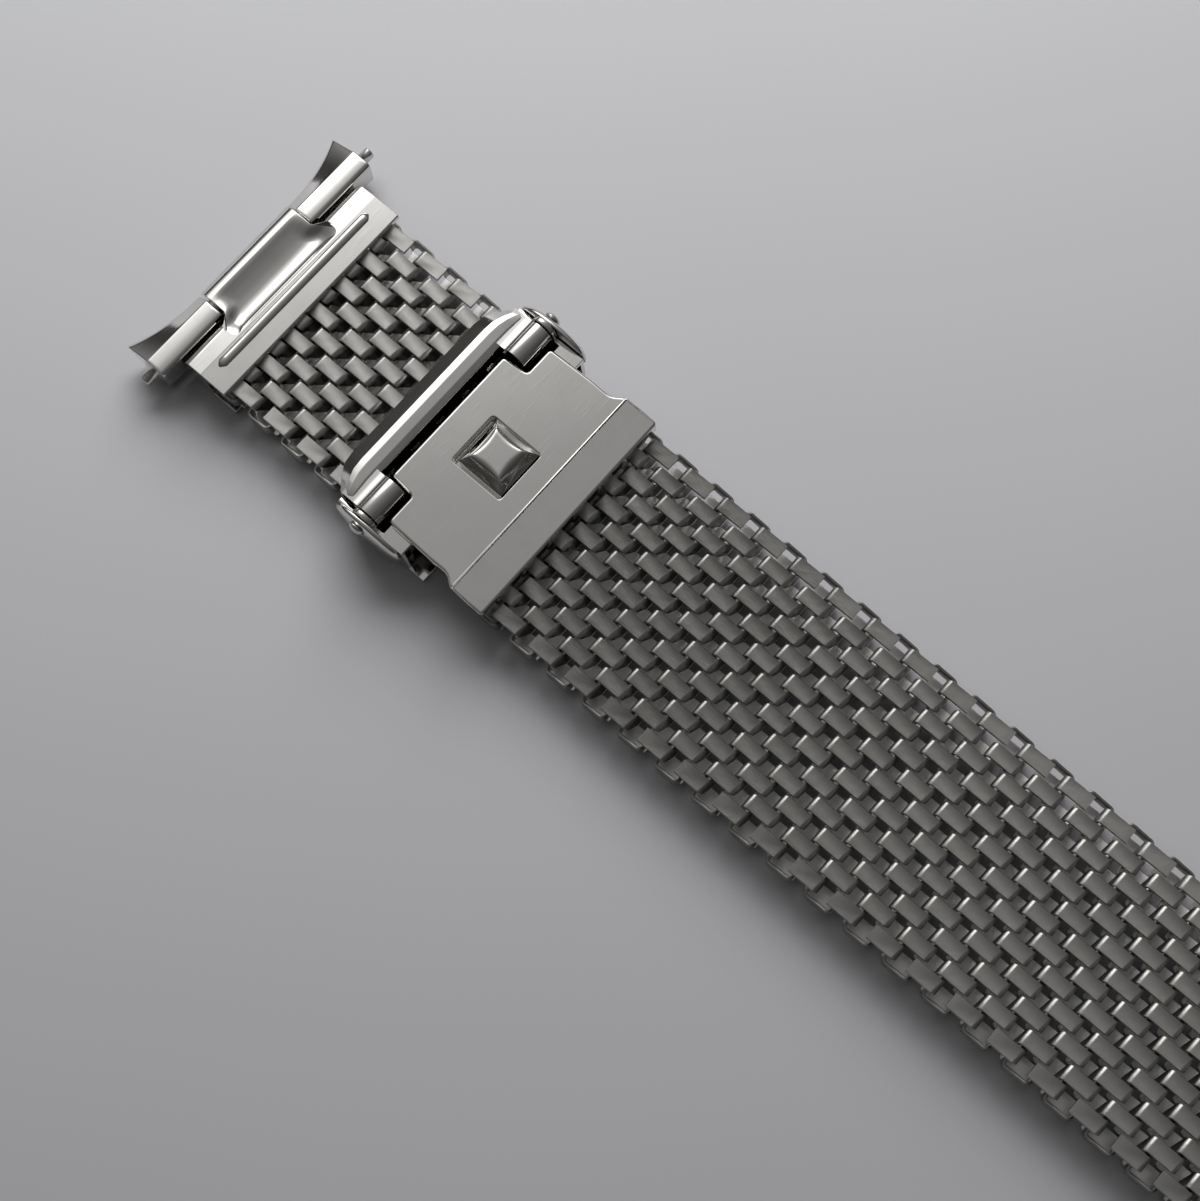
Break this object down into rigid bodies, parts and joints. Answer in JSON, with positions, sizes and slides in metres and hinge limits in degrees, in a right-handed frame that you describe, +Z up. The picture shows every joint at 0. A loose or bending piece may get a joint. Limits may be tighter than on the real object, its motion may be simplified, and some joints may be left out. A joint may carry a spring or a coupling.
{
  "type": "milanese mesh watch band",
  "caption": "Woven steel watch band of hooked flat coils, with a sliding fold-over clasp, folded end caps and curved end links on spring bars.",
  "frame": {"origin": "on the table under the clasp's front pivot, midway across the band", "axes": "+X along the band towards the far end cap, +Y across it, +Z up from the table"},
  "size_m": [0.1249, 0.0218, 0.0052],
  "materials": {
    "polished_steel": "mirror polished steel",
    "mesh_steel": "satin steel ribbon",
    "pin_steel": "bright turned steel"
  },
  "bodies": {
    "frame": {"slide_frame": "polished_steel", "cheek_left": "polished_steel", "cheek_right": "polished_steel", "front_pin_left": "pin_steel", "front_pin_right": "pin_steel", "snap_stud": "polished_steel", "cover_pin": "pin_steel"},
    "lock": {"lock_bar": "polished_steel"},
    "cover": {"cover_plate": "polished_steel", "long_mesh_01": "mesh_steel"},
    "long_02": {"long_mesh_02": "mesh_steel"},
    "long_03": {"long_mesh_03": "mesh_steel"},
    "long_04": {"long_mesh_04": "mesh_steel"},
    "long_05": {"long_mesh_05": "mesh_steel"},
    "long_06": {"long_mesh_06": "mesh_steel"},
    "long_07": {"long_mesh_07": "mesh_steel"},
    "long_08": {"long_mesh_08": "mesh_steel"},
    "long_09": {"long_mesh_09": "mesh_steel"},
    "long_10": {"long_mesh_10": "mesh_steel"},
    "long_11": {"long_mesh_11": "mesh_steel"},
    "long_12": {"long_mesh_12": "mesh_steel"},
    "long_13": {"long_mesh_13": "mesh_steel"},
    "long_14": {"long_mesh_14": "mesh_steel"},
    "long_15": {"long_mesh_15": "mesh_steel"},
    "far_cap": {"far_end_cap": "polished_steel", "long_mesh_16": "mesh_steel"},
    "short_tail": {"short_mesh_4": "mesh_steel"},
    "short_3": {"short_mesh_3": "mesh_steel"},
    "short_2": {"short_mesh_2": "mesh_steel"},
    "near_cap": {"near_end_cap": "polished_steel", "short_mesh_1": "mesh_steel"},
    "near_link": {"near_end_link": "polished_steel", "near_spring_bar": "pin_steel"},
    "near_tip_left": {"near_bar_tip_left": "pin_steel"},
    "near_tip_right": {"near_bar_tip_right": "pin_steel"},
    "far_link": {"far_end_link": "polished_steel", "far_spring_bar": "pin_steel"},
    "far_tip_left": {"far_bar_tip_left": "pin_steel"},
    "far_tip_right": {"far_bar_tip_right": "pin_steel"}
  },
  "joints": [
    {"name": "lock_bar_lift", "type": "hinge", "parent": "frame", "child": "lock", "pos_m": [0, 0, 0.004], "axis": [0, 1, 0], "range_deg": [0, 75]},
    {"name": "cover_swing", "type": "hinge", "parent": "frame", "child": "cover", "pos_m": [0.00535, 0, 0.00085], "axis": [0, 1, 0], "range_deg": [0, 65]},
    {"name": "size_slide", "type": "slide", "parent": "frame", "child": "short_tail", "axis": [-1, 0, 0], "range_m": [0, 0.0035]},
    {"name": "long_bend_01", "type": "hinge", "parent": "cover", "child": "long_02", "pos_m": [0.01033, 0, 0.00175], "axis": [0, 1, 0], "range_deg": [-6, 14]},
    {"name": "long_bend_02", "type": "hinge", "parent": "long_02", "child": "long_03", "pos_m": [0.01632, 0, 0.00175], "axis": [0, 1, 0], "range_deg": [-6, 14]},
    {"name": "long_bend_03", "type": "hinge", "parent": "long_03", "child": "long_04", "pos_m": [0.02233, 0, 0.00175], "axis": [0, 1, 0], "range_deg": [-6, 14]},
    {"name": "long_bend_04", "type": "hinge", "parent": "long_04", "child": "long_05", "pos_m": [0.02832, 0, 0.00175], "axis": [0, 1, 0], "range_deg": [-6, 14]},
    {"name": "long_bend_05", "type": "hinge", "parent": "long_05", "child": "long_06", "pos_m": [0.03433, 0, 0.00175], "axis": [0, 1, 0], "range_deg": [-6, 14]},
    {"name": "long_bend_06", "type": "hinge", "parent": "long_06", "child": "long_07", "pos_m": [0.04032, 0, 0.00175], "axis": [0, 1, 0], "range_deg": [-6, 14]},
    {"name": "long_bend_07", "type": "hinge", "parent": "long_07", "child": "long_08", "pos_m": [0.04632, 0, 0.00175], "axis": [0, 1, 0], "range_deg": [-6, 14]},
    {"name": "long_bend_08", "type": "hinge", "parent": "long_08", "child": "long_09", "pos_m": [0.05233, 0, 0.00175], "axis": [0, 1, 0], "range_deg": [-6, 14]},
    {"name": "long_bend_09", "type": "hinge", "parent": "long_09", "child": "long_10", "pos_m": [0.05833, 0, 0.00175], "axis": [0, 1, 0], "range_deg": [-6, 14]},
    {"name": "long_bend_10", "type": "hinge", "parent": "long_10", "child": "long_11", "pos_m": [0.06432, 0, 0.00175], "axis": [0, 1, 0], "range_deg": [-6, 14]},
    {"name": "long_bend_11", "type": "hinge", "parent": "long_11", "child": "long_12", "pos_m": [0.07032, 0, 0.00175], "axis": [0, 1, 0], "range_deg": [-6, 14]},
    {"name": "long_bend_12", "type": "hinge", "parent": "long_12", "child": "long_13", "pos_m": [0.07633, 0, 0.00175], "axis": [0, 1, 0], "range_deg": [-6, 14]},
    {"name": "long_bend_13", "type": "hinge", "parent": "long_13", "child": "long_14", "pos_m": [0.08232, 0, 0.00175], "axis": [0, 1, 0], "range_deg": [-6, 14]},
    {"name": "long_bend_14", "type": "hinge", "parent": "long_14", "child": "long_15", "pos_m": [0.08833, 0, 0.00175], "axis": [0, 1, 0], "range_deg": [-6, 14]},
    {"name": "long_bend_15", "type": "hinge", "parent": "long_15", "child": "far_cap", "pos_m": [0.09433, 0, 0.00175], "axis": [0, 1, 0], "range_deg": [-6, 14]},
    {"name": "short_bend_1", "type": "hinge", "parent": "short_tail", "child": "short_3", "pos_m": [-0.00378, 0, 0.00175], "axis": [0, 1, 0], "range_deg": [-14, 6]},
    {"name": "short_bend_2", "type": "hinge", "parent": "short_3", "child": "short_2", "pos_m": [-0.00827, 0, 0.00175], "axis": [0, 1, 0], "range_deg": [-14, 6]},
    {"name": "short_bend_3", "type": "hinge", "parent": "short_2", "child": "near_cap", "pos_m": [-0.01128, 0, 0.00175], "axis": [0, 1, 0], "range_deg": [-14, 6]},
    {"name": "near_link_tilt", "type": "hinge", "parent": "near_cap", "child": "near_link", "pos_m": [-0.01825, 0, 0.002], "axis": [0, 1, 0], "range_deg": [-15, 15]},
    {"name": "near_tip_left_press", "type": "slide", "parent": "near_link", "child": "near_tip_left", "axis": [0, -1, 0], "range_m": [0, 0.0009], "stiffness_N_per_m": 150},
    {"name": "near_tip_right_press", "type": "slide", "parent": "near_link", "child": "near_tip_right", "axis": [0, 1, 0], "range_m": [0, 0.0009], "stiffness_N_per_m": 150},
    {"name": "far_link_tilt", "type": "hinge", "parent": "far_cap", "child": "far_link", "pos_m": [0.1013, 0, 0.002], "axis": [0, 1, 0], "range_deg": [-15, 15]},
    {"name": "far_tip_left_press", "type": "slide", "parent": "far_link", "child": "far_tip_left", "axis": [0, -1, 0], "range_m": [0, 0.0009], "stiffness_N_per_m": 150},
    {"name": "far_tip_right_press", "type": "slide", "parent": "far_link", "child": "far_tip_right", "axis": [0, 1, 0], "range_m": [0, 0.0009], "stiffness_N_per_m": 150}
  ]
}
